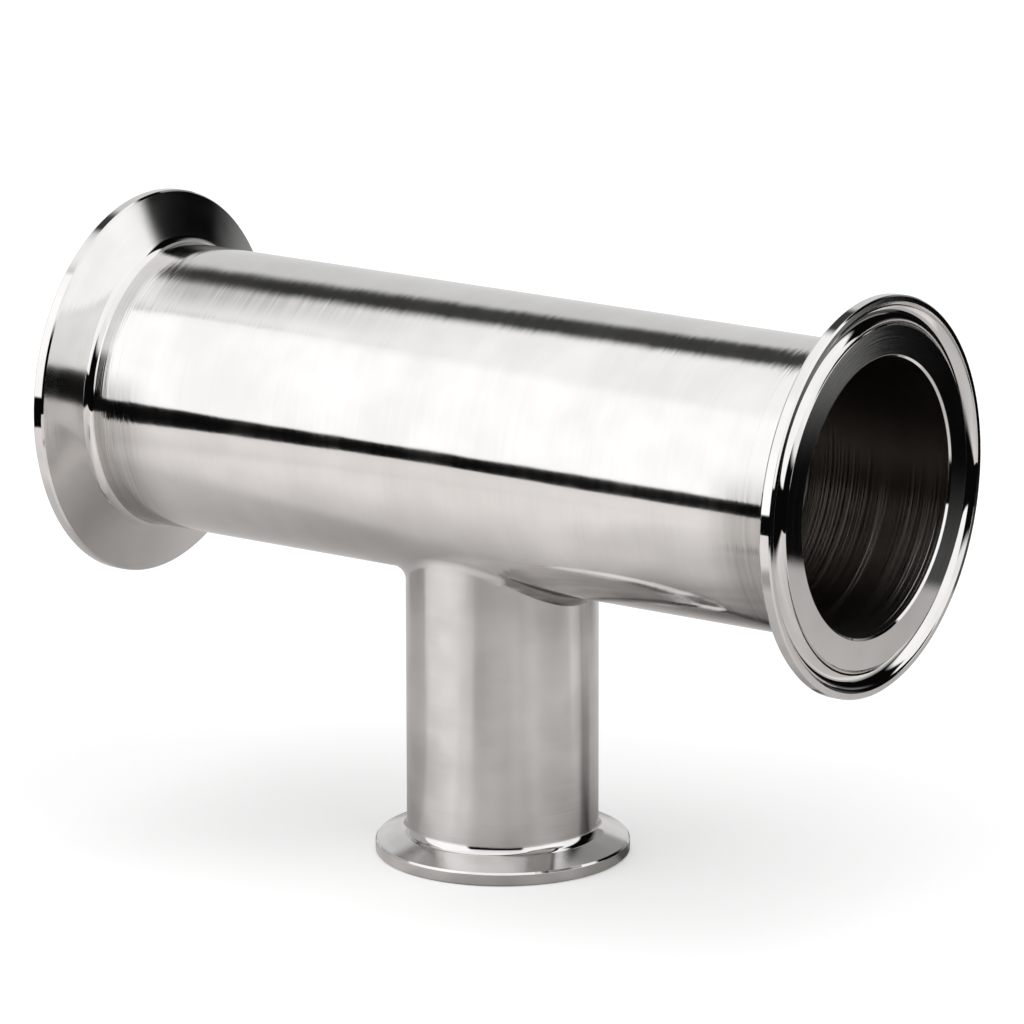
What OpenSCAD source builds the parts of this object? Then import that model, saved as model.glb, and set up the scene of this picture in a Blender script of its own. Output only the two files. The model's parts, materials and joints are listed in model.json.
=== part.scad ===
// Sanitary clamp tee: a straight run tube with a smaller branch tube welded on below it, and a
// turned clamp ferrule butt-welded to each of the three ends. The run lies along X and the branch
// points down, and the origin is where their two axes cross.

/* [Run] */
// Outside diameter of the run tube
run_tube_od = 57; // [50:0.5:64]
// Wall of the run tube and its ferrules
run_wall = 1.5; // [1:0.1:2.5]
// Distance between the sealing faces at the two ends of the run
run_length = 171.5; // [140:0.5:220]
// Rim diameter of the run ferrules
run_flange_od = 77.5; // [70:0.5:92]
// Width of the straight rim on the run ferrules
run_rim = 2.4; // [1.6:0.1:4]

/* [Branch] */
// Outside diameter of the branch tube
branch_tube_od = 38; // [28:0.5:41]
// Wall of the branch tube and its ferrule
branch_wall = 1.5; // [1:0.1:2.5]
// Distance from the axis of the run to the sealing face of the branch
branch_height = 84.3; // [70:0.1:120]
// Rim diameter of the branch ferrule
branch_flange_od = 50.5; // [48:0.5:64]
// Width of the straight rim on the branch ferrule
branch_rim = 2.6; // [1.6:0.1:4]

/* [Ferrules] */
// Length of a ferrule from its sealing face to its butt weld
ferrule_length = 12.5; // [11:0.5:22]
// Slope of the back that the clamp ring pulls on, in degrees
back_angle = 20; // [15:1:25]
// Radius in the root between the sloped back and the neck
root_fillet = 2.1; // [1:0.1:3]
// Chamfer on both edges of the rim
rim_chamfer = 0.3; // [0.1:0.05:0.6]
// Chamfer where the bore meets the sealing face
bore_chamfer = 0.4; // [0.1:0.05:0.6]

/* [Gasket groove] */
// Distance from the rim to the middle of the groove
groove_inset = 3.5; // [3.2:0.1:4.5]
// Width of the round-bottomed groove at the face
groove_width = 4.4; // [3:0.1:5]
// Depth of the groove
groove_depth = 1.6; // [1:0.1:2]

/* [Outlet weld] */
// Radius of the dressed weld fillet between the run and the branch
outlet_fillet = 3; // [1.5:0.1:5]
// Height of the fillet's edges above the tubes
weld_toe = 0.1; // [0.05:0.05:0.3]
// Depth to which the fillet is fused into the branch tube's wall
weld_depth = 0.6; // [0.3:0.1:0.9]

/* [Hidden] */
$fn = 128;
weld_sections = 72;
weld_arc_steps = 6;

run_r = run_tube_od / 2;
run_bore_r = run_r - run_wall;
branch_r = branch_tube_od / 2;
branch_bore_r = branch_r - branch_wall;
run_tube_length = run_length - 2 * ferrule_length;
branch_tube_length = branch_height - ferrule_length;
groove_arc_r = (pow(groove_width / 2, 2) + pow(groove_depth, 2)) / (2 * groove_depth);

tube_colour = [0.70, 0.69, 0.68];
ferrule_colour = [0.78, 0.77, 0.76];

// A cylinder about the axis of the run
module along_run(r, h) {
    rotate([0, 90, 0])
        cylinder(r = r, h = h, center = true);
}

// Half section of a ferrule, with the sealing face on the X axis and the neck above it. The root is
// first filled out to the centre of its fillet, and the fillet's circle is then cut away.
module ferrule_section(tube_r, wall, flange_r, rim) {
    slope = tan(back_angle);
    bore_r = tube_r - wall;
    root = [tube_r + root_fillet,
            rim + (flange_r - tube_r - root_fillet) * slope + root_fillet / cos(back_angle)];
    cone_end = root - root_fillet * [sin(back_angle), cos(back_angle)];
    difference() {
        polygon([
            [bore_r, bore_chamfer],
            [bore_r + bore_chamfer, 0],
            [flange_r - rim_chamfer, 0],
            [flange_r, rim_chamfer],
            [flange_r, rim - rim_chamfer],
            [flange_r - rim_chamfer, rim + rim_chamfer * slope],
            cone_end,
            root,
            [tube_r, root.y],
            [tube_r, ferrule_length],
            [bore_r, ferrule_length]
        ]);
        translate(root)
            circle(root_fillet);
        translate([flange_r - groove_inset, groove_depth - groove_arc_r])
            circle(groove_arc_r);
    }
}

// Turned clamp ferrule with its sealing face at the origin and its neck along +Z
module ferrule(tube_r, wall, flange_r, rim) {
    rotate_extrude()
        ferrule_section(tube_r, wall, flange_r, rim);
}

// Centre of a ball that rolls along the outside corner between the two tubes, at an angle about
// the branch. It stays one fillet radius away from the skin of each tube.
function ball_centre(angle) =
    let (reach = branch_r + outlet_fillet, y = reach * sin(angle))
    [reach * cos(angle), y, -sqrt(pow(run_r + outlet_fillet, 2) - y * y)];

// Section of the fillet at one angle: the arc from the branch to the run on the ball's surface, and
// three points inside the metal that close it
function weld_section(angle) =
    let (
        centre = ball_centre(angle),
        to_branch = [-cos(angle), -sin(angle), 0],
        to_run = -[0, centre.y, centre.z] / (run_r + outlet_fillet),
        turn = acos(to_branch * to_run),
        root = outlet_fillet + weld_depth
    )
    concat(
        [for (step = [0 : weld_arc_steps])
            let (part = step / weld_arc_steps)
            centre + (outlet_fillet - weld_toe) / sin(turn)
                * (sin((1 - part) * turn) * to_branch + sin(part * turn) * to_run)],
        [centre + root * to_run,
         centre + root / (1 + cos(turn)) * (to_branch + to_run),
         centre + root * to_branch]
    );

// Ring of weld metal round the foot of the branch, lofted through its sections
module outlet_weld() {
    sections = [for (i = [0 : weld_sections - 1]) weld_section(i * 360 / weld_sections)];
    size = len(sections[0]);
    points = [for (section = sections) each section];
    faces = [
        for (i = [0 : weld_sections - 1], j = [0 : size - 1])
            let (
                next = (i + 1) % weld_sections,
                a = i * size + j,
                b = i * size + (j + 1) % size,
                c = next * size + (j + 1) % size,
                d = next * size + j
            )
            each [[a, b, c], [a, c, d]]
    ];
    polyhedron(points, faces);
}

// Straight tube, open into the branch through its lower wall
module run_tube() {
    color(tube_colour)
        difference() {
            along_run(run_r, run_tube_length);
            along_run(run_bore_r, run_length);
            mirror([0, 0, 1])
                cylinder(r = branch_bore_r, h = run_tube_od);
        }
}

// Tube whose top is cut to sit on the skin of the run, with its dressed weld fillet
module branch_tube() {
    color(tube_colour)
        difference() {
            union() {
                mirror([0, 0, 1])
                    cylinder(r = branch_r, h = branch_tube_length);
                outlet_weld();
            }
            along_run(run_r, run_length);
            mirror([0, 0, 1])
                cylinder(r = branch_bore_r, h = branch_height);
        }
}

// Ferrule on the run's end in the -X direction
module left_run_ferrule() {
    color(ferrule_colour)
        translate([-run_length / 2, 0, 0])
            rotate([0, 90, 0])
                ferrule(run_r, run_wall, run_flange_od / 2, run_rim);
}

// Ferrule on the run's end in the +X direction
module right_run_ferrule() {
    color(ferrule_colour)
        translate([run_length / 2, 0, 0])
            rotate([0, -90, 0])
                ferrule(run_r, run_wall, run_flange_od / 2, run_rim);
}

// Ferrule below the branch, on which the tee stands
module branch_ferrule() {
    color(ferrule_colour)
        translate([0, 0, -branch_height])
            ferrule(branch_r, branch_wall, branch_flange_od / 2, branch_rim);
}

run_tube();
branch_tube();
left_run_ferrule();
right_run_ferrule();
branch_ferrule();
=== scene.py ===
import json
import math

import bpy
import numpy as np
from mathutils import Matrix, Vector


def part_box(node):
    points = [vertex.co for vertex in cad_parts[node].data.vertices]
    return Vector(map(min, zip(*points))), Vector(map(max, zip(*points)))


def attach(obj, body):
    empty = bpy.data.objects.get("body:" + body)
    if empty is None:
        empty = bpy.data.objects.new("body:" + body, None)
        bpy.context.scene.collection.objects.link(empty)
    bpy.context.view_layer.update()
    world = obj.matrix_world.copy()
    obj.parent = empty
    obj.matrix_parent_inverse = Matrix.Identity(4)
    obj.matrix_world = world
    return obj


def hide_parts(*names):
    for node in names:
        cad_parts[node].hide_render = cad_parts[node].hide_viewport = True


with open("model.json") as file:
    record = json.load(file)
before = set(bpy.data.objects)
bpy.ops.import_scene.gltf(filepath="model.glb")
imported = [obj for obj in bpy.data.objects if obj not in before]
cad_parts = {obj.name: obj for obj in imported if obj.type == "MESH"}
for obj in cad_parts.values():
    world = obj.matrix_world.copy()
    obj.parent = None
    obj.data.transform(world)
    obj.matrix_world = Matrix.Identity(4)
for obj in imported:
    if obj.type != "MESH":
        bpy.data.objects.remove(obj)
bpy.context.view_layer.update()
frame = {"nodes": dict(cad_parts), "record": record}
scene = bpy.context.scene
mm = 0.001
print("frame loaded:", ", ".join(sorted(frame["nodes"])))


# Sizes of the tee in millimetres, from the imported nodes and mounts

def nodeBox(node):
    low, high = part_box(node)
    return np.array(low) / mm, np.array(high) / mm


mountRadius = {m["name"]: m["dims"].get("r_mm") for m in frame["record"]["mounts"]}
runR = nodeBox("run_tube")[1][2]
runEnd = nodeBox("run_tube")[1][0]
runFace = nodeBox("right_run_ferrule")[1][0]
runFlangeR = nodeBox("right_run_ferrule")[1][2]
runBoreR = mountRadius["run_bore"]
branchBoreR = mountRadius["branch_bore"]
branchR = branchBoreR + runR - runBoreR      # both tubes have the same wall
branchEnd = nodeBox("branch_tube")[0][2]
branchFace = nodeBox("branch_ferrule")[0][2]
branchFlangeR = nodeBox("branch_ferrule")[1][0]


# Shader sockets that add up like numbers

class Wire:
    def __init__(self, tree, socket=None):
        self.tree = tree
        self.socket = socket

    # any node: its settings are set first, then its sockets are linked or filled
    def node(self, kind, settings=None, sockets=None, out=0):
        made = self.tree.nodes.new(kind)
        for key, value in (settings or {}).items():
            setattr(made, key, value)
        for key, value in (sockets or {}).items():
            if isinstance(value, Wire):
                self.tree.links.new(value.socket, made.inputs[key])
            else:
                made.inputs[key].default_value = value
        return Wire(self.tree, made.outputs[out] if made.outputs else None)

    def math(self, operation, *values):
        return self.node("ShaderNodeMath", {"operation": operation}, dict(enumerate(values)))

    def __add__(self, other):
        return self.math("ADD", self, other)

    __radd__ = __add__

    def __sub__(self, other):
        return self.math("SUBTRACT", self, other)

    def __rsub__(self, other):
        return self.math("SUBTRACT", other, self)

    def __mul__(self, other):
        return self.math("MULTIPLY", self, other)

    __rmul__ = __mul__

    def __truediv__(self, other):
        return self.math("DIVIDE", self, other)

    def __rtruediv__(self, other):
        return self.math("DIVIDE", other, self)

    # first below low, last above high, and a smooth change between them
    def rise(self, low, high, first=0.0, last=1.0):
        return self.node("ShaderNodeMapRange", {"interpolation_type": "SMOOTHSTEP", "clamp": False},
                         {"Value": self, "From Min": low, "From Max": high, "To Min": first, "To Max": last})

    # 1 below low, 0 above high, and a smooth change between them
    def fall(self, low, high):
        return self.rise(low, high, 1.0, 0.0)

    # 1 between low and high, with soft edges
    def window(self, low, high, soft):
        return self.rise(low - soft, low + soft) * self.fall(high - soft, high + soft)

    # a noise pattern stretched by three scales along X, Y and Z
    def noise(self, scales, detail, rough):
        stretched = self.node("ShaderNodeMapping", {}, {"Vector": self, "Scale": scales})
        return self.node("ShaderNodeTexNoise", {},
                         {"Vector": stretched, "Scale": 1.0, "Detail": detail, "Roughness": rough})

    # a colour between two, by a factor
    def blend(self, low, high):
        return self.node("ShaderNodeMix", {"data_type": "RGBA"}, {0: self, 6: low, 7: high}, out=2)


def newMaterial(name):
    material = bpy.data.materials.new(name)
    material.use_nodes = True
    material.node_tree.nodes.clear()
    return material, Wire(material.node_tree)


def finishMaterial(start, shader):
    start.node("ShaderNodeOutputMaterial", {}, {"Surface": shader})


# Steel finishes, with heights in metres

roughLimit = 0.265   # rougher steel leaves dotted contours in a denoised render

runLook = {
    "light": (0.735, 0.725, 0.715, 1),
    "dark": (0.66, 0.65, 0.64, 1),
    # colour of painted shade and of a darker streak
    "dull": (0.42, 0.41, 0.40, 1),
    # the bore's colour is painted shade towards its top and painted light lower down
    "bored": (0.33, 0.30, 0.28, 1),
    "boredLow": (0.66, 0.65, 0.63, 1),
    "rough": 0.05,
    "roughSpread": 0.05,
    "lineHeight": 0.000008,
    "waveHeight": 0.00004,
    "stretch": 0.0,
    "stretchTurn": 0.0,
    "polishedRough": 0.03,
    "polishedHeight": 0.0000012,
    "turnedRough": 0.18,
    "turnedHeight": 0.00024,
    "dressedRough": 0.24,
}
branchLook = runLook | {
    "light": (0.755, 0.745, 0.735, 1),
    "dark": (0.60, 0.59, 0.58, 1),
    "rough": 0.15,
    "roughSpread": 0.04,
    "stretch": 1.0,
    "stretchTurn": 0.25,
    "polishedRough": 0.04,
    "dressedRough": 0.12,
}
grain = {
    "coarse": (900, 26),             # noise cells per metre along the axis and round it
    "fine": (4200, 60),
    "bored": (1700, 0.6),
    "cloud": 60,                     # noise cells per metre in every direction
    "wave": 110,
    "lathe": 7,                      # noise cells per millimetre along a ferrule's outline
    "toneRange": (0.38, 0.82),
    "roughRange": (0.35, 0.85),
    "boreShadow": (-0.024, 0.004),   # heights between which the bore turns dark
}


# Steel ground on a belt while it turns, so fine lines run round the axis (0 for X, 2 for Z).
# Where polish is 1 it is a mirror with faint lathe rings, where turned is 1 it keeps the marks of
# the boring tool and its colour is painted shade towards the top and painted light lower down, and
# where dressed is 1 it was blended by hand and is rougher. Where brushed is 1 its lines are deeper, and
# where dull is 1 its colour is darker, as painted shade and as a darker streak. Every height
# is zero on average.
def steel(name, axis, look):
    material, start = newMaterial(name)
    place = start.node("ShaderNodeTexCoord", out=3)
    polish, turned, dressed, brushed, dull, along = (
        start.node("ShaderNodeAttribute", {"attribute_name": key}, out=2)
        for key in ("polish", "turned", "dressed", "brushed", "dull", "along"))
    ground = (1 - polish) * (1 - turned)
    shadedBoreTop = start.node("ShaderNodeSeparateXYZ", {}, {0: place}, out=2).rise(*grain["boreShadow"])
    outline = start.node("ShaderNodeCombineXYZ", {}, {0: along})

    def rings(key, detail, rough):
        onAxis, around = grain[key]
        return place.noise([onAxis if i == axis else around for i in range(3)], detail, rough)

    def even(key, detail, rough):
        return place.noise([grain[key]] * 3, detail, rough)

    coarse = rings("coarse", 2.0, 0.6)
    fine = rings("fine", 1.0, 0.6)
    bored = rings("bored", 2.0, 0.5)
    cloud = even("cloud", 2.0, 0.65)
    wave = even("wave", 1.0, 0.5)
    lathe = outline.noise((grain["lathe"], 1, 1), 1.0, 0.7)

    tone = (coarse * 0.16 + fine * 0.1 + cloud * 0.94).rise(*grain["toneRange"])
    # painted shade and the darker streak darken the tone here
    shadedTone = (dull * (0.5 + coarse)).blend(tone.blend(look["dark"], look["light"]), look["dull"])
    # the turned bore: painted shade towards its top, painted light lower down
    colour = turned.blend(shadedTone, shadedBoreTop.blend(look["boredLow"], look["bored"]))

    satin = look["rough"] + look["roughSpread"] * (cloud * 0.7 + coarse * 0.5).rise(*grain["roughRange"])
    satin = satin + dressed * (look["dressedRough"] * (0.5 + cloud))
    rough = satin * ground + look["polishedRough"] * polish * (0.6 + 0.8 * cloud)
    rough = start.math("MINIMUM", rough + turned * look["turnedRough"], roughLimit)

    lines = (fine * 0.6 + coarse - 0.8) * (1 + 2 * brushed) * (1 - 0.7 * dressed)
    height = (lines * look["lineHeight"] + (wave - 0.5) * look["waveHeight"]) * ground
    height = height + (bored - 0.5) * turned * look["turnedHeight"] * (1.2 - 0.8 * shadedBoreTop)
    height = height + (lathe - 0.5) * polish * look["polishedHeight"]
    normal = start.node("ShaderNodeBump", {}, {"Strength": 1.0, "Distance": 1.0, "Height": height})
    finishMaterial(start, start.node("ShaderNodeBsdfPrincipled", {}, {
        "Base Color": colour, "Metallic": 1.0, "Roughness": rough, "Normal": normal,
        "Anisotropic": look["stretch"], "Anisotropic Rotation": look["stretchTurn"]}))
    return material


# Surfaces as whole arrays

def unit(v):
    return v / np.linalg.norm(v, axis=-1, keepdims=True)


# 0 at low, 1 at high, and a smooth change between them
def smooth(values, low, high):
    part = np.clip((values - low) / (high - low), 0, 1)
    return part * part * (3 - 2 * part)


# two smooth changes at once, such as a rise and a later fall
def band(values, rise, fall):
    return smooth(values, *rise) * smooth(values, *fall)


# straight from first to last by parts of 0 to 1
def between(first, last, part):
    return first + (last - first) * part


# quads between neighbouring rows of vertex numbers, each row closed into a ring, and the last row
# joined to the first where closeRows is set
def quads(grid, closeRows=False):
    if closeRows:
        grid = np.concatenate([grid, grid[:1]])
    grid = np.concatenate([grid, grid[:, :1]], 1)
    return np.stack([grid[:-1, :-1], grid[1:, :-1], grid[1:, 1:], grid[:-1, 1:]], -1).reshape(-1, 4)


# faces turned round as a set if they look against the normals of their corners
def outward(points, normals, faces):
    corner = points[faces]
    facing = np.cross(corner[:, 2] - corner[:, 0], corner[:, 3] - corner[:, 1])
    return faces[:, ::-1] if (facing * normals[faces].sum(1)).sum() < 0 else faces


def makePiece(name, node, points, normals, faceSets, material, fields):
    faces = np.concatenate([outward(points, normals, f) for f in faceSets])
    mesh = bpy.data.meshes.new(name)
    mesh.from_pydata((points * mm).tolist(), [], faces.tolist())
    for key, values in fields.items():
        mesh.attributes.new(key, "FLOAT", "POINT").data.foreach_set("value", values.astype(np.float32))
    mesh.shade_smooth()
    mesh.normals_split_custom_set_from_vertices(unit(normals).tolist())
    mesh.materials.append(material)
    piece = bpy.data.objects.new(name, mesh)
    scene.collection.objects.link(piece)
    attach(piece, "root")
    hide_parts(node)
    print("made", name, len(points), "points", len(faces), "quads")


# Clamp ferrules

ferruleForm = {
    "rimChamfer": 0.3,
    "boreChamfer": 0.4,
    "rootFillet": 2.1,
    "backAngle": math.radians(20),
    "grooveInset": 3.5,
    "grooveWidth": 4.4,
    "grooveDepth": 1.6,
    "grooveRound": 0.97,     # share of the groove's full radius, which leaves room for the edge rounds
    "edgeRound": 0.1,
    "hiddenRound": 0.02,
    "length": runFace - runEnd,
    "spokes": 288,
    "arcSteps": 9,
}
runFerrule = {
    "tubeR": runR,
    "boreR": runBoreR,
    "flangeR": runFlangeR,
    "rim": 2.4,
    "conePolish": 0.0,
    "coneDressed": 0.14,
    # painted shade on the neck's lower side
    "neckDull": 0.9,
}
branchFerrule = {
    "tubeR": branchR,
    "boreR": branchBoreR,
    "flangeR": branchFlangeR,
    "rim": 2.6,
    "conePolish": 0.5,
    "coneDressed": 0.6,
    "neckDull": 0.0,
}
ferruleZones = {
    "boreSkin": 0.02,        # what lies this close to the bore's radius is bored
    "neckFrom": 0.4,         # share of the root fillet above the back's corner with the tube
    "coneFrom": 0.03,        # the sloped back starts this far behind the rim
    "coneTo": 0.55,          # share of the root fillet outside the tube
    "coneFacing": 0.8,       # least part of its normal along the axis
    "underDressed": 6,       # how much more the back is dressed on its lower half
    "under": (0.15, 0.6),    # how far down a spoke points there
    "neckShine": (0.36, 0.1),   # the neck takes painted shade as its spokes point less far up
}


# Closed outline with every corner (r, a, radius) rounded by an arc that touches both its sides.
# Gives the points and their outward normals, all arcs at once.
def roundedOutline(corners, steps):
    rows = np.array(corners)
    tip, radius = rows[:, :2], rows[:, 2:]
    toLast = unit(np.roll(tip, 1, 0) - tip)
    toNext = unit(np.roll(tip, -1, 0) - tip)
    half = np.arccos((toLast * toNext).sum(-1, keepdims=True)) / 2
    centre = tip + unit(toLast + toNext) * radius / np.sin(half)
    first = unit(tip + toLast * radius / np.tan(half) - centre)[:, None]
    last = unit(tip + toNext * radius / np.tan(half) - centre)[:, None]
    turn = (math.pi - 2 * half)[:, None]
    part = np.linspace(0, 1, steps)[None, :, None]
    spoke = (np.sin((1 - part) * turn) * first + np.sin(part * turn) * last) / np.sin(turn)
    cross = toLast[:, 0] * toNext[:, 1] - toLast[:, 1] * toNext[:, 0]
    area = (tip[:, 0] * np.roll(tip[:, 1], -1) - tip[:, 1] * np.roll(tip[:, 0], -1)).sum()
    bulge = -np.sign(cross * area)[:, None, None]
    points = centre[:, None] + radius[:, None] * spoke
    return points.reshape(-1, 2), (spoke * bulge).reshape(-1, 2)


# Half section of a ferrule: radius first, then the distance behind the sealing face. The groove's
# arc is the round of a corner at grooveTip.
def ferruleOutline(sizes):
    form = ferruleForm
    tubeR, boreR, flangeR, rim = (sizes[key] for key in ("tubeR", "boreR", "flangeR", "rim"))
    slope = math.tan(form["backAngle"])
    edge, chamfer = form["edgeRound"], form["rimChamfer"]
    grooveMid, grooveHalf = flangeR - form["grooveInset"], form["grooveWidth"] / 2
    grooveR = (grooveHalf ** 2 + form["grooveDepth"] ** 2) / (2 * form["grooveDepth"])
    grooveTip = grooveHalf ** 2 / (grooveR - form["grooveDepth"])
    corners = [
        (boreR, form["boreChamfer"], edge),
        (boreR + form["boreChamfer"], 0, edge),
        (grooveMid - grooveHalf, 0, edge),
        (grooveMid, grooveTip, grooveR * form["grooveRound"]),
        (grooveMid + grooveHalf, 0, edge),
        (flangeR - chamfer, 0, edge),
        (flangeR, chamfer, edge),
        (flangeR, rim - chamfer, edge),
        (flangeR - chamfer, rim + chamfer * slope, edge),
        (tubeR, rim + (flangeR - tubeR) * slope, form["rootFillet"]),
        (tubeR, form["length"], form["hiddenRound"]),
        (boreR, form["length"], form["hiddenRound"]),
    ]
    return roundedOutline(corners, form["arcSteps"])


# Fields of a ferrule by the stretches of its outline: sloped back, neck, bore and the polished rest.
# spokeHeight is how far up each spoke points.
def ferruleFinish(outline, facing, spokeHeight, sizes):
    zones = ferruleZones
    r, a = outline.T
    rootFillet = ferruleForm["rootFillet"]
    backTop = sizes["rim"] + (sizes["flangeR"] - sizes["tubeR"]) * math.tan(ferruleForm["backAngle"])
    bore = r < sizes["boreR"] + zones["boreSkin"]
    neck = (a > backTop + rootFillet * zones["neckFrom"]) & (r > (sizes["boreR"] + sizes["tubeR"]) / 2)
    cone = (a > sizes["rim"] + zones["coneFrom"]) & (facing[:, 1] > zones["coneFacing"])
    cone = cone & (r > sizes["tubeR"] + rootFillet * zones["coneTo"])
    steps = np.linalg.norm(np.diff(outline, axis=0), axis=1)
    under = 1 + zones["underDressed"] * smooth(-spokeHeight, *zones["under"])
    every = np.ones(len(spokeHeight))
    fields = {
        "polish": np.outer(every, np.where(neck | bore, 0.0, np.where(cone, sizes["conePolish"], 1.0))),
        "turned": np.outer(every, bore),
        "along": np.outer(every, np.concatenate([[0], np.cumsum(steps)])),
        "brushed": np.outer(every, neck),
        "dressed": np.outer(under, sizes["coneDressed"] * cone),
        # painted shade on the neck, stronger as its spokes point further down
        "dull": np.outer(smooth(spokeHeight, *zones["neckShine"]), sizes["neckDull"] * neck),
    }
    return {key: values.reshape(-1) for key, values in fields.items()}


# The outline turned round an axis: place and unit vectors of the axis and the first spoke
def ferrule(name, node, origin, axis, spokeStart, sizes, material):
    outline, facing = ferruleOutline(sizes)
    axis, across = np.array(axis, float), np.array(spokeStart, float)
    side = np.cross(axis, across)
    angle = np.arange(ferruleForm["spokes"]) * 2 * math.pi / ferruleForm["spokes"]
    spoke = np.cos(angle)[:, None] * across + np.sin(angle)[:, None] * side

    def turned(flat):
        return (flat[None, :, :1] * spoke[:, None] + flat[None, :, 1:] * axis).reshape(-1, 3)

    points, normals = np.array(origin) + turned(outline), turned(facing)
    faces = quads(np.arange(len(points)).reshape(len(angle), len(outline)), closeRows=True)
    fields = ferruleFinish(outline, facing, spoke[:, 2], sizes)
    makePiece(name, node, points, normals, [faces], material, fields)


# Tubes. Bearings round the branch are in degrees, 0 towards +X.

outlet = {
    "fillet": 3.0,
    "lensFillet": 5.9,
    "lensAngle": math.radians(35),
    "lensBearings": ((-61, -55), (50, 30)),
    "filletRows": 20,
    "windowX": 32.0,
    "windowAngle": math.radians(64),
    "cellsX": 48,
    "cellsAngle": 96,
    "sideCells": 20,
    "topCells": 116,
    "patchRows": 40,
    "patchCrowding": 1.3,    # above 1 the rows crowd towards the outlet
    "ledge": 0.05,
    "ledgeRows": 5,
    "ledgeDrop": 0.02,
    "edge": 0.15,
    "branchRows": 36,
    "boreRows": 6,
    "seatRows": 4,
}
runMarks = {
    "blend": (11, 4),                       # distance from the branch over which the blend comes in
    "lensFront": -22.0,                     # y where the lens stops
    "lensTurn": 23.0,                       # left of this x its front bends back
    "lensBend": 6.0,
    "lensBendLength": 14.0,
    "lensSoft": (-0.3, 0.3),
    "lensLeft": (7.6, 8.4),
    "lensBearing": (40, 20),
    "weldAlong": (-46, -72),
    "weldAround": ((40, 56), (72, 62)),     # degrees up from the front
    "weldDressed": 0.3,
    "smearAlong": (15, -66),
    "smearFade": 7,
    "smearAround": ((44, 58), (74, 66)),
    "endLength": 10,
    "endHeight": (0.36, 0.1),               # shares of the run's radius
    # painted shade low down at both ends
    "endDull": 0.9,
    "brushedLength": 9,
}
branchMarks = {
    "dressed": 0.5,
    "dressedHeight": (-10, -2),             # against the lower edge of the blend
    "lensStart": -60.3,
    "lensLean": 5.9,
    "lensSoft": (-1, 1),
    "lensBearing": (40, 20),
    "lensPolish": 0.6,
    # painted shade on the polished lens of the blend
    "lensDull": 1.6,
}


# The run's skin as a grid of stations along X and angles round it (0 is straight down), less a
# window below. Gives the grid's stations, angles and numbers, the numbers round the window, the
# cells that are left, and the bearing of each point round the window.
def windowLoop():
    w, a = outlet["windowX"], outlet["windowAngle"]
    side, middle, below = outlet["sideCells"], outlet["cellsX"], outlet["cellsAngle"]
    x = np.concatenate([np.linspace(-runEnd, -w, side + 1)[:-1], np.linspace(-w, w, middle + 1),
                        np.linspace(w, runEnd, side + 1)[1:]])
    angle = np.concatenate([np.linspace(-a, a, below + 1),
                            np.linspace(a, 2 * math.pi - a, outlet["topCells"] + 1)[1:-1]])
    grid = np.arange(len(x) * len(angle)).reshape(len(x), len(angle))
    i0, i1 = side, side + middle
    loop = np.concatenate([grid[i0:i1, 0], grid[i1, 0:below], grid[i1:i0:-1, below], grid[i0, below:0:-1]])
    cells = quads(grid)
    column, row = np.divmod(cells[:, 0], len(angle))
    cells = cells[~((column >= i0) & (column < i1) & (row < below))]
    xx, aa = (m.reshape(-1) for m in np.meshgrid(x, angle, indexing="ij"))
    return xx, aa, grid, loop, cells, np.arctan2(aa[loop] / a, xx[loop] / w)


stationX, stationAngle, stationGrid, windowRing, skinCells, loopTurn = windowLoop()
loopCos, loopSin, loopDegrees = np.cos(loopTurn), np.sin(loopTurn), np.degrees(loopTurn)
radial = np.stack([loopCos, loopSin, 0 * loopCos], -1)


# Points at stations and angles on a cylinder about X
def onCylinder(radius, x, angle):
    return np.stack([x, radius * np.sin(angle), -radius * np.cos(angle)], -1)


# Points on the lower side of a cylinder about X, straight below given x and y
def underside(radius, x, y):
    return np.stack(np.broadcast_arrays(x, y, -np.sqrt(radius ** 2 - y ** 2)), -1)


# Points and normals of a skin that faces out (side 1) or into the bore (side -1)
def skin(radius, side, x, angle):
    return onCylinder(radius, x, angle), side * onCylinder(1, 0 * x, angle)


# Rows from the outlet's edge to the window, straight lines on the unrolled skin
def windowPatch(radius, holeX, holeY):
    part = np.linspace(0, 1, outlet["patchRows"] + 1)[:-1, None] ** outlet["patchCrowding"]
    x = between(holeX, stationX[windowRing], part)
    angle = between(np.arcsin(holeY / radius), stationAngle[windowRing], part)
    return x, angle


# Points and normals of the blend: a ball rolls round the corner, and its arc runs from where it
# touches the run (part 0) to the branch (part 1). On the right the ball is larger and sunk into
# the branch, so that the blend ends there at an angle.
def rolledFillet():
    sharp = band(loopDegrees, *outlet["lensBearings"])
    ball = between(outlet["fillet"], outlet["lensFillet"], sharp)
    tilt = outlet["lensAngle"] * sharp
    reach = branchR + ball * np.cos(tilt)
    centre = underside(runR + ball, reach * loopCos, reach * loopSin)
    toRun = unit(centre * (0, -1, -1))
    toBranch = np.stack([-loopCos * np.cos(tilt), -loopSin * np.cos(tilt), np.sin(tilt)], -1)
    turn = np.arccos((toRun * toBranch).sum(-1))[None, :, None]
    part = np.linspace(0, 1, outlet["filletRows"] + 1)[:, None, None]
    spoke = (np.sin((1 - part) * turn) * toRun + np.sin(part * turn) * toBranch) / np.sin(turn)
    return centre + ball[:, None] * spoke, -spoke


filletPoints, filletNormals = rolledFillet()
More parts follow.
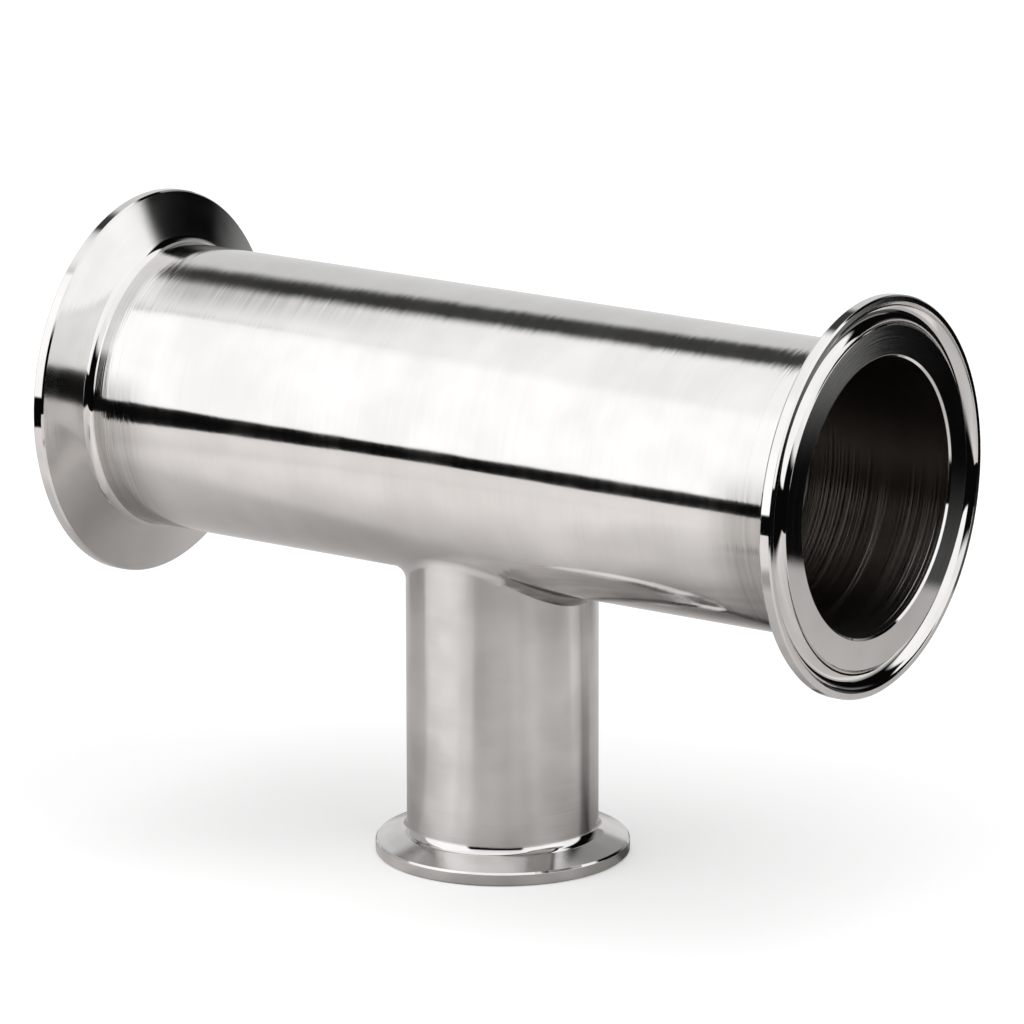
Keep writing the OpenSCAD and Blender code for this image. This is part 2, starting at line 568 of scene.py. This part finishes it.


# Fields of the run by place. The blend fades with the distance from the branch, except in a lens
# on its right that carries painted shade instead. Both ends are brushed and carry painted shade low
# down, and a darker streak runs along the upper front towards a dressed weld on the left. The bore
# is turned.
def runFinish(points, inside):
    marks = runMarks
    x, y, z = points.T
    above = np.degrees(np.arctan2(z, -y))   # 0 at the front, 90 on top
    fromEnd = runEnd - abs(x)
    blend = smooth(np.hypot(x, y) - branchR, *marks["blend"]) * (z < 0)
    bend = np.clip((marks["lensTurn"] - x) / marks["lensBendLength"], 0, 1) ** 2
    lens = smooth(y - marks["lensFront"] - marks["lensBend"] * bend, *marks["lensSoft"])
    lens = lens * smooth(x, *marks["lensLeft"])
    lens = lens * smooth(np.degrees(np.arctan2(y, x)), *marks["lensBearing"])
    weld = smooth(x, *marks["weldAlong"]) * band(above, *marks["weldAround"])
    # a darker streak along the upper front
    streak = smooth(x, *marks["smearAlong"]) * smooth(x + runEnd, 0, marks["smearFade"])
    streak = streak * band(above, *marks["smearAround"])
    # painted shade low down near both ends
    lowEndShade = smooth(fromEnd, marks["endLength"], 0) * smooth(z / runR, *marks["endHeight"])
    outside = ~inside
    return {
        "turned": inside * 1.0,
        "dressed": outside * (blend * (1 - lens) + weld * marks["weldDressed"]),
        "brushed": outside * smooth(fromEnd, marks["brushedLength"], 0),
        # painted shade at both ends and in the lens, and the darker streak
        "dull": outside * np.maximum.reduce([lowEndShade * marks["endDull"], streak, lens * blend]),
    }


# The run: skin, hidden ledge under the blend, wall of the branch's opening and bore
def runTube(material):
    toe = filletPoints[0]
    boreX, boreY = branchBoreR * loopCos, branchBoreR * loopSin
    ledgeR = runR - outlet["ledge"]
    mouth = branchBoreR + outlet["edge"]
    step = np.linspace(0, 1, outlet["ledgeRows"])[:, None]
    ledge = underside(ledgeR, between(toe[:, 0], boreX, step), between(toe[:, 1], boreY, step))
    wall = underside(np.array([[ledgeR - outlet["ledgeDrop"]], [runBoreR + outlet["edge"]]]), boreX, boreY)
    groups = [
        skin(runR, 1, stationX, stationAngle),
        skin(runR, 1, *windowPatch(runR, toe[:, 0], toe[:, 1])),
        (ledge, unit(ledge * (0, 1, 1))),
        (wall, np.tile(-radial, (len(wall), 1, 1))),
        skin(runBoreR, -1, stationX, stationAngle),
        skin(runBoreR, -1, *windowPatch(runBoreR, mouth * loopCos, mouth * loopSin)),
    ]
    points, normals = (np.concatenate([group[i].reshape(-1, 3) for group in groups]) for i in (0, 1))
    # number of the first point in each group; the bore's skin is group 4
    firsts = np.cumsum([0] + [group[0].size // 3 for group in groups])
    bore = firsts[4]
    patchRows, ledgeRows, wallRows, boreRows = (
        np.arange(firsts[i], firsts[i + 1]).reshape(-1, len(windowRing)) for i in (1, 2, 3, 5))
    patchRows = np.concatenate([patchRows, windowRing[None]])
    boreRows = np.concatenate([boreRows, windowRing[None] + bore])
    throat = np.concatenate([patchRows[:1], ledgeRows, wallRows, boreRows[:1]])
    # the normals at the two ends lie along their faces, so these are given the right way round
    leftEnd, rightEnd = (quads(np.stack([ring, ring + bore])) for ring in stationGrid[[0, -1]])
    faceSets = [skinCells, quads(patchRows), quads(throat), skinCells + bore, quads(boreRows),
                leftEnd[:, ::-1], rightEnd]
    fields = runFinish(points, np.arange(len(points)) >= bore)
    makePiece("runTubeSkin", "run_tube", points, normals, faceSets, material, fields)


# The branch as rings of points, one row after another: blend, skin, bore and the seat on the run
def branchTube(material):
    marks = branchMarks
    toe, top = filletPoints[0], filletPoints[-1]
    up = np.array([0, 0, 1.0])
    foot = top * (1, 1, 0) + up * branchEnd
    part = np.linspace(0, 1, outlet["branchRows"] + 1)[1:, None, None]
    skinRows = np.concatenate([(top - up * outlet["ledge"])[None], between(top, foot, part)])
    boreX, boreY = branchBoreR * loopCos, branchBoreR * loopSin
    saddle = underside(runR, boreX, boreY)
    part = np.linspace(0, 1, outlet["boreRows"])[:, None, None]
    boreRows = between(saddle * (1, 1, 0) + up * branchEnd, saddle, part)
    part = np.linspace(0, 1, outlet["seatRows"] + 2)[1:-1, None]
    seat = underside(runR, between(boreX, toe[:, 0], part), between(boreY, toe[:, 1], part))
    rows = np.concatenate([filletPoints, skinRows, boreRows, seat])
    facing = np.concatenate([filletNormals, np.tile(radial, (len(skinRows), 1, 1)),
                             np.tile(-radial, (len(boreRows), 1, 1)), -unit(seat * (0, 1, 1))])
    count = len(filletPoints), len(skinRows), len(boreRows), len(seat)
    turned = np.repeat([0.0, 0.0, 1.0, 0.0], count)[:, None] * np.ones(len(loopTurn))
    share = np.linspace(0, 1, len(filletPoints))[:, None]
    lens = smooth(loopDegrees - marks["lensStart"] - marks["lensLean"] * share, *marks["lensSoft"])
    polish = np.zeros(rows.shape[:2])
    polish[:len(filletPoints)] = marks["lensPolish"] * lens * smooth(loopDegrees, *marks["lensBearing"])
    dressed = marks["dressed"] * smooth(rows[:, :, 2] - top[:, 2], *marks["dressedHeight"])
    # painted shade on the blend's polished lens
    fields = {"dressed": dressed * (1 - turned) * (1 - polish), "turned": turned,
              "polish": polish, "dull": marks["lensDull"] * polish}
    fields = {key: values.reshape(-1) for key, values in fields.items()}
    faces = quads(np.arange(rows.size // 3).reshape(rows.shape[:2]), closeRows=True)
    makePiece("branchTubeSkin", "branch_tube", rows.reshape(-1, 3),
              facing.reshape(-1, 3), [faces], material, fields)


runSteel = steel("runSteel", 0, runLook)
branchSteel = steel("branchSteel", 2, branchLook)
runTube(runSteel)
branchTube(branchSteel)
ferrule("leftRunFerrule", "left_run_ferrule", (-runFace, 0, 0), (1, 0, 0), (0, 0, 1),
        runFerrule, runSteel)
ferrule("rightRunFerrule", "right_run_ferrule", (runFace, 0, 0), (-1, 0, 0), (0, 0, 1),
        runFerrule, runSteel)
ferrule("branchFerrule", "branch_ferrule", (0, 0, branchFace), (0, 0, 1), (1, 0, 0),
        branchFerrule, branchSteel)


# Studio: a white table in a dark room, lit by softboxes that are given by direction. Bearings are in
# degrees, 0 towards -Y and 90 towards +X. Reflections in the steel see painted shadow and painted light
# on the table in places, and see it warm and glowing.

black = (0, 0, 0, 1)
degree = 180 / math.pi

tableForm = {
    "size": 4.0,
    "gap": 0.02,              # millimetres below the branch's face
    "left": -0.240,           # edges of the tabletop that the steel sees
    "right": 0.30,
    "front": -0.375,
    "back": 0.215,
    "edge": 0.006,
    "rightEdge": 0.04,
    "glow": 0.24,
    "glossyGlow": 0.5,
    "white": (0.9, 0.9, 0.9, 1),
    "glowWhite": (1, 1, 1, 1),
    "warm": (0.925, 0.89, 0.872, 1),
}
tableSpots = [                # round patches of painted shadow (painted light where negative): how much darker, where and how wide
    {"shade": 0.12, "centre": (0.0, 0.0), "size": (0.14, 0.06)},
    {"shade": 0.28, "centre": (0.028, 0.013), "size": (0.03, 0.03)},
    {"shade": -0.22, "centre": (0.012, -0.05), "size": (0.03, 0.03)},
]
tableWedges = [               # painted shadow (painted light where negative) by bearing, some only beyond or within a distance from the branch
    {"shade": 0.14, "bearing": (4, 44, 8)},
    {"shade": -0.16, "bearing": (64, 128, 8)},
    {"shade": -0.16, "bearing": (-60, -16, 5), "within": (0.17, 0.22)},
    {"shade": -0.3, "bearing": (118, 136, 3), "beyond": (0.116, 0.14), "within": (0.188, 0.212)},
]
# painted shadow towards the back and ahead of the tee, and its painted cast shadow, which turns to painted
# light far out
tableBack = {"shade": 0.37, "depth": (-0.25, 0.05), "rightShade": 0.08, "rightDepth": (0, 0.2)}
tableAhead = {"shade": 0.42, "from": (-2, 4), "to": (-6, 40), "distance": (0.114, 0.185, 0.012)}
tableCast = {
    "shade": 0.12,
    "nearShade": 0.15,
    "near": (0.1, 0.135),
    "farLift": 0.36,
    "far": (0.15, 0.185),
    "bearing": (145, 163, 4),
    "lean": 1.05,             # the shadow leaves the branch's side, not its axis
}


# How much painted shadow the steel's reflections see on the table at x and y in metres; below zero it is
# painted light
def tableShade(start, x, y):
    bearing = start.math("ARCTAN2", x, 0 - y) * degree
    distance = start.math("SQRT", x * x + y * y)
    deep = tableBack["shade"] + x.rise(*tableBack["rightDepth"]) * tableBack["rightShade"]
    shade = y.rise(*tableBack["depth"]) * deep
    for spot in tableSpots:
        across = (x - spot["centre"][0]) / spot["size"][0]
        along = (y - spot["centre"][1]) / spot["size"][1]
        shade = shade + start.math("EXPONENT", 0 - across * across - along * along) * spot["shade"]
    for wedge in tableWedges:
        patch = bearing.window(*wedge["bearing"]) * wedge["shade"]
        if "beyond" in wedge:
            patch = patch * distance.rise(*wedge["beyond"])
        if "within" in wedge:
            patch = patch * distance.fall(*wedge["within"])
        shade = shade + patch
    ahead = bearing.rise(*tableAhead["from"]) * bearing.fall(*tableAhead["to"])
    shade = shade + ahead * distance.window(*tableAhead["distance"]) * tableAhead["shade"]
    cast = tableCast["shade"] + tableCast["nearShade"] * distance.fall(*tableCast["near"])
    cast = cast - tableCast["farLift"] * distance.rise(*tableCast["far"])
    aside = bearing + tableCast["lean"] / distance
    return shade + aside.window(*tableCast["bearing"]) * cast


def table():
    form = tableForm
    size, z = form["size"], (branchFace - form["gap"]) * mm
    corners = [(-size, -size, z), (size, -size, z), (size, size, z), (-size, size, z)]
    mesh = bpy.data.meshes.new("table")
    mesh.from_pydata(corners, [], [(0, 1, 2, 3)])
    floor = bpy.data.objects.new("table", mesh)
    scene.collection.objects.link(floor)
    material, start = newMaterial("whiteTable")
    place = start.node("ShaderNodeTexCoord", out=3)
    x, y = (start.node("ShaderNodeSeparateXYZ", {}, {0: place}, out=i) for i in (0, 1))
    camera = start.node("ShaderNodeLightPath", out="Is Camera Ray")
    glossy = start.node("ShaderNodeLightPath", out="Is Glossy Ray")
    shade = tableShade(start, x, y)
    # the table glows white for the camera; for reflections it glows warm, with the painted shadow and light
    seen = camera + glossy * (1 - shade) * form["glossyGlow"]
    lit = start.node("ShaderNodeBsdfPrincipled", {}, {
        "Base Color": (shade * glossy).blend(glossy.blend(form["white"], form["warm"]), black),
        "Roughness": 1.0, "Specular IOR Level": 0.0, "Emission Strength": form["glow"],
        "Emission Color": seen.blend(black, glossy.blend(form["glowWhite"], form["warm"]))})
    clear = start.node("ShaderNodeBsdfTransparent")
    edge, soft = form["edge"], form["rightEdge"]
    top = y.window(form["front"], form["back"], edge)
    top = top * x.rise(form["left"] - edge, form["left"] + edge)
    top = top * x.fall(form["right"] - soft, form["right"] + soft)
    finishMaterial(start, start.node("ShaderNodeMixShader", {}, {0: glossy * (1 - top), 1: lit, 2: clear}))
    mesh.materials.append(material)


roomLights = {
    "overhead": {"light": 1.25, "height": (48.5, 54)},
    "key": {"light": 1.4, "bearing": (-69, -8, 3), "slope": 0.22, "foot": 4.4, "soft": (-0.7, 0.7)},
    "right": {"light": 1.3, "bearing": (58, 137, 3), "slope": 0.2, "level": 100, "foot": -2.3,
              "soft": (-0.8, 0.8)},
    "front": {"light": 1.15, "bearing": (-8, 58, 3), "height": (24, 36)},
    "left": {"light": 0.55, "bearing": (-112, -69, 4), "height": (-3.2, -1.8)},
    "leftWall": {"light": 0.72, "glow": 0.055, "bearing": (-120, -104), "slope": 1.11,
                 "soft": (-0.04, 0.06)},
    "farWall": {"light": 0.3, "bearing": (-153, -147), "height": (46, 54)},
    "shelf": {"light": 0.27, "bearing": (137, 148.95, 0.1), "foot": (-14.4, -13.4), "top": (-5.5, -5)},
    "skirting": {"light": 0.09, "bearing": (149, 149.3), "height": (-15.3, -14.4)},
    "back": {"light": 0.36, "bearing": (160, 178), "height": (20, 36)},
    "gloom": 0.003,
}


# Light of the room by direction. The key box hangs lower at its left and the right box rises
# towards the front, and the camera sees plain white.
def room():
    world = bpy.data.worlds.new("studio")
    scene.world = world
    world.use_nodes = True
    world.node_tree.nodes.clear()
    start = Wire(world.node_tree)
    direction = start.node("ShaderNodeTexCoord", out=0)
    x, y, z = (start.node("ShaderNodeSeparateXYZ", {}, {0: direction}, out=i) for i in range(3))
    height = start.math("ARCSINE", z) * degree
    bearing = start.math("ARCTAN2", x, 0 - y) * degree
    lights = roomLights
    key, right, wall, far = (lights[name] for name in ("key", "right", "leftWall", "farWall"))
    shelf, skirting, back = (lights[name] for name in ("shelf", "skirting", "back"))
    keyFoot = bearing * key["slope"] + key["foot"]
    light = bearing.window(*key["bearing"]) * (height - keyFoot).rise(*key["soft"]) * key["light"]
    rightFoot = start.math("MAXIMUM", (right["level"] - bearing) * right["slope"], 0) + right["foot"]
    rightBox = bearing.window(*right["bearing"]) * (height - rightFoot).rise(*right["soft"])
    light = light + rightBox * right["light"]
    for box in (lights["front"], lights["left"]):
        light = light + bearing.window(*box["bearing"]) * height.rise(*box["height"]) * box["light"]
    side = bearing.fall(*wall["bearing"])
    leftWall = side * (0 - z - wall["slope"] * x).rise(*wall["soft"])
    farWall = bearing.fall(*far["bearing"]) * height.fall(*far["height"]) * (1 - leftWall)
    light = light + leftWall * wall["light"] + side * wall["glow"] + farWall * far["light"]
    shelfBand = height.rise(*shelf["foot"]) * height.fall(*shelf["top"])
    light = light + bearing.window(*shelf["bearing"]) * shelfBand * shelf["light"]
    for low in (skirting, back):
        light = light + bearing.rise(*low["bearing"]) * height.fall(*low["height"]) * low["light"]
    overhead = height.rise(*lights["overhead"]["height"])
    light = light * (1 - overhead) + overhead * lights["overhead"]["light"] + lights["gloom"]
    camera = start.node("ShaderNodeLightPath", out="Is Camera Ray")
    strength = camera + (1 - camera) * light
    background = start.node("ShaderNodeBackground", {}, {"Color": (1, 1, 1, 1), "Strength": strength})
    start.node("ShaderNodeOutputWorld", {}, {"Surface": background})


table()
room()
scene.view_settings.view_transform = "Standard"
print("studio lit")


# Camera, fitted to the outline of the tee in the photograph's 1024 pixel frame

view = {
    "azimuth": math.radians(33.902),
    "elevation": math.radians(14.827),
    "roll": math.radians(-0.0925),
    "distance": 1410.18,
    "focalPixels": 7210.0,
    "framePixels": 1024,
    "aimRight": 1.96,
    "aimUp": -14.776,
    "sensorWidth": 36,
    "clip": (0.1, 20),
}


def camera():
    a, e, roll = view["azimuth"], view["elevation"], view["roll"]
    back = np.array([math.sin(a) * math.cos(e), -math.cos(a) * math.cos(e), math.sin(e)])
    level = np.array([math.cos(a), math.sin(a), 0])
    upright = np.cross(back, level)
    right = level * math.cos(roll) + upright * math.sin(roll)
    up = upright * math.cos(roll) - level * math.sin(roll)
    eye = (back * view["distance"] + right * view["aimRight"] + up * view["aimUp"]) * mm
    data = bpy.data.cameras.new("camera")
    data.sensor_width = view["sensorWidth"]
    data.lens = view["focalPixels"] / view["framePixels"] * data.sensor_width
    data.clip_start, data.clip_end = view["clip"]
    made = bpy.data.objects.new("camera", data)
    scene.collection.objects.link(made)
    matrix = np.eye(4)
    matrix[:3] = np.stack([right, up, back, eye], 1)
    made.matrix_world = Matrix(matrix.tolist())
    scene.camera = made


camera()
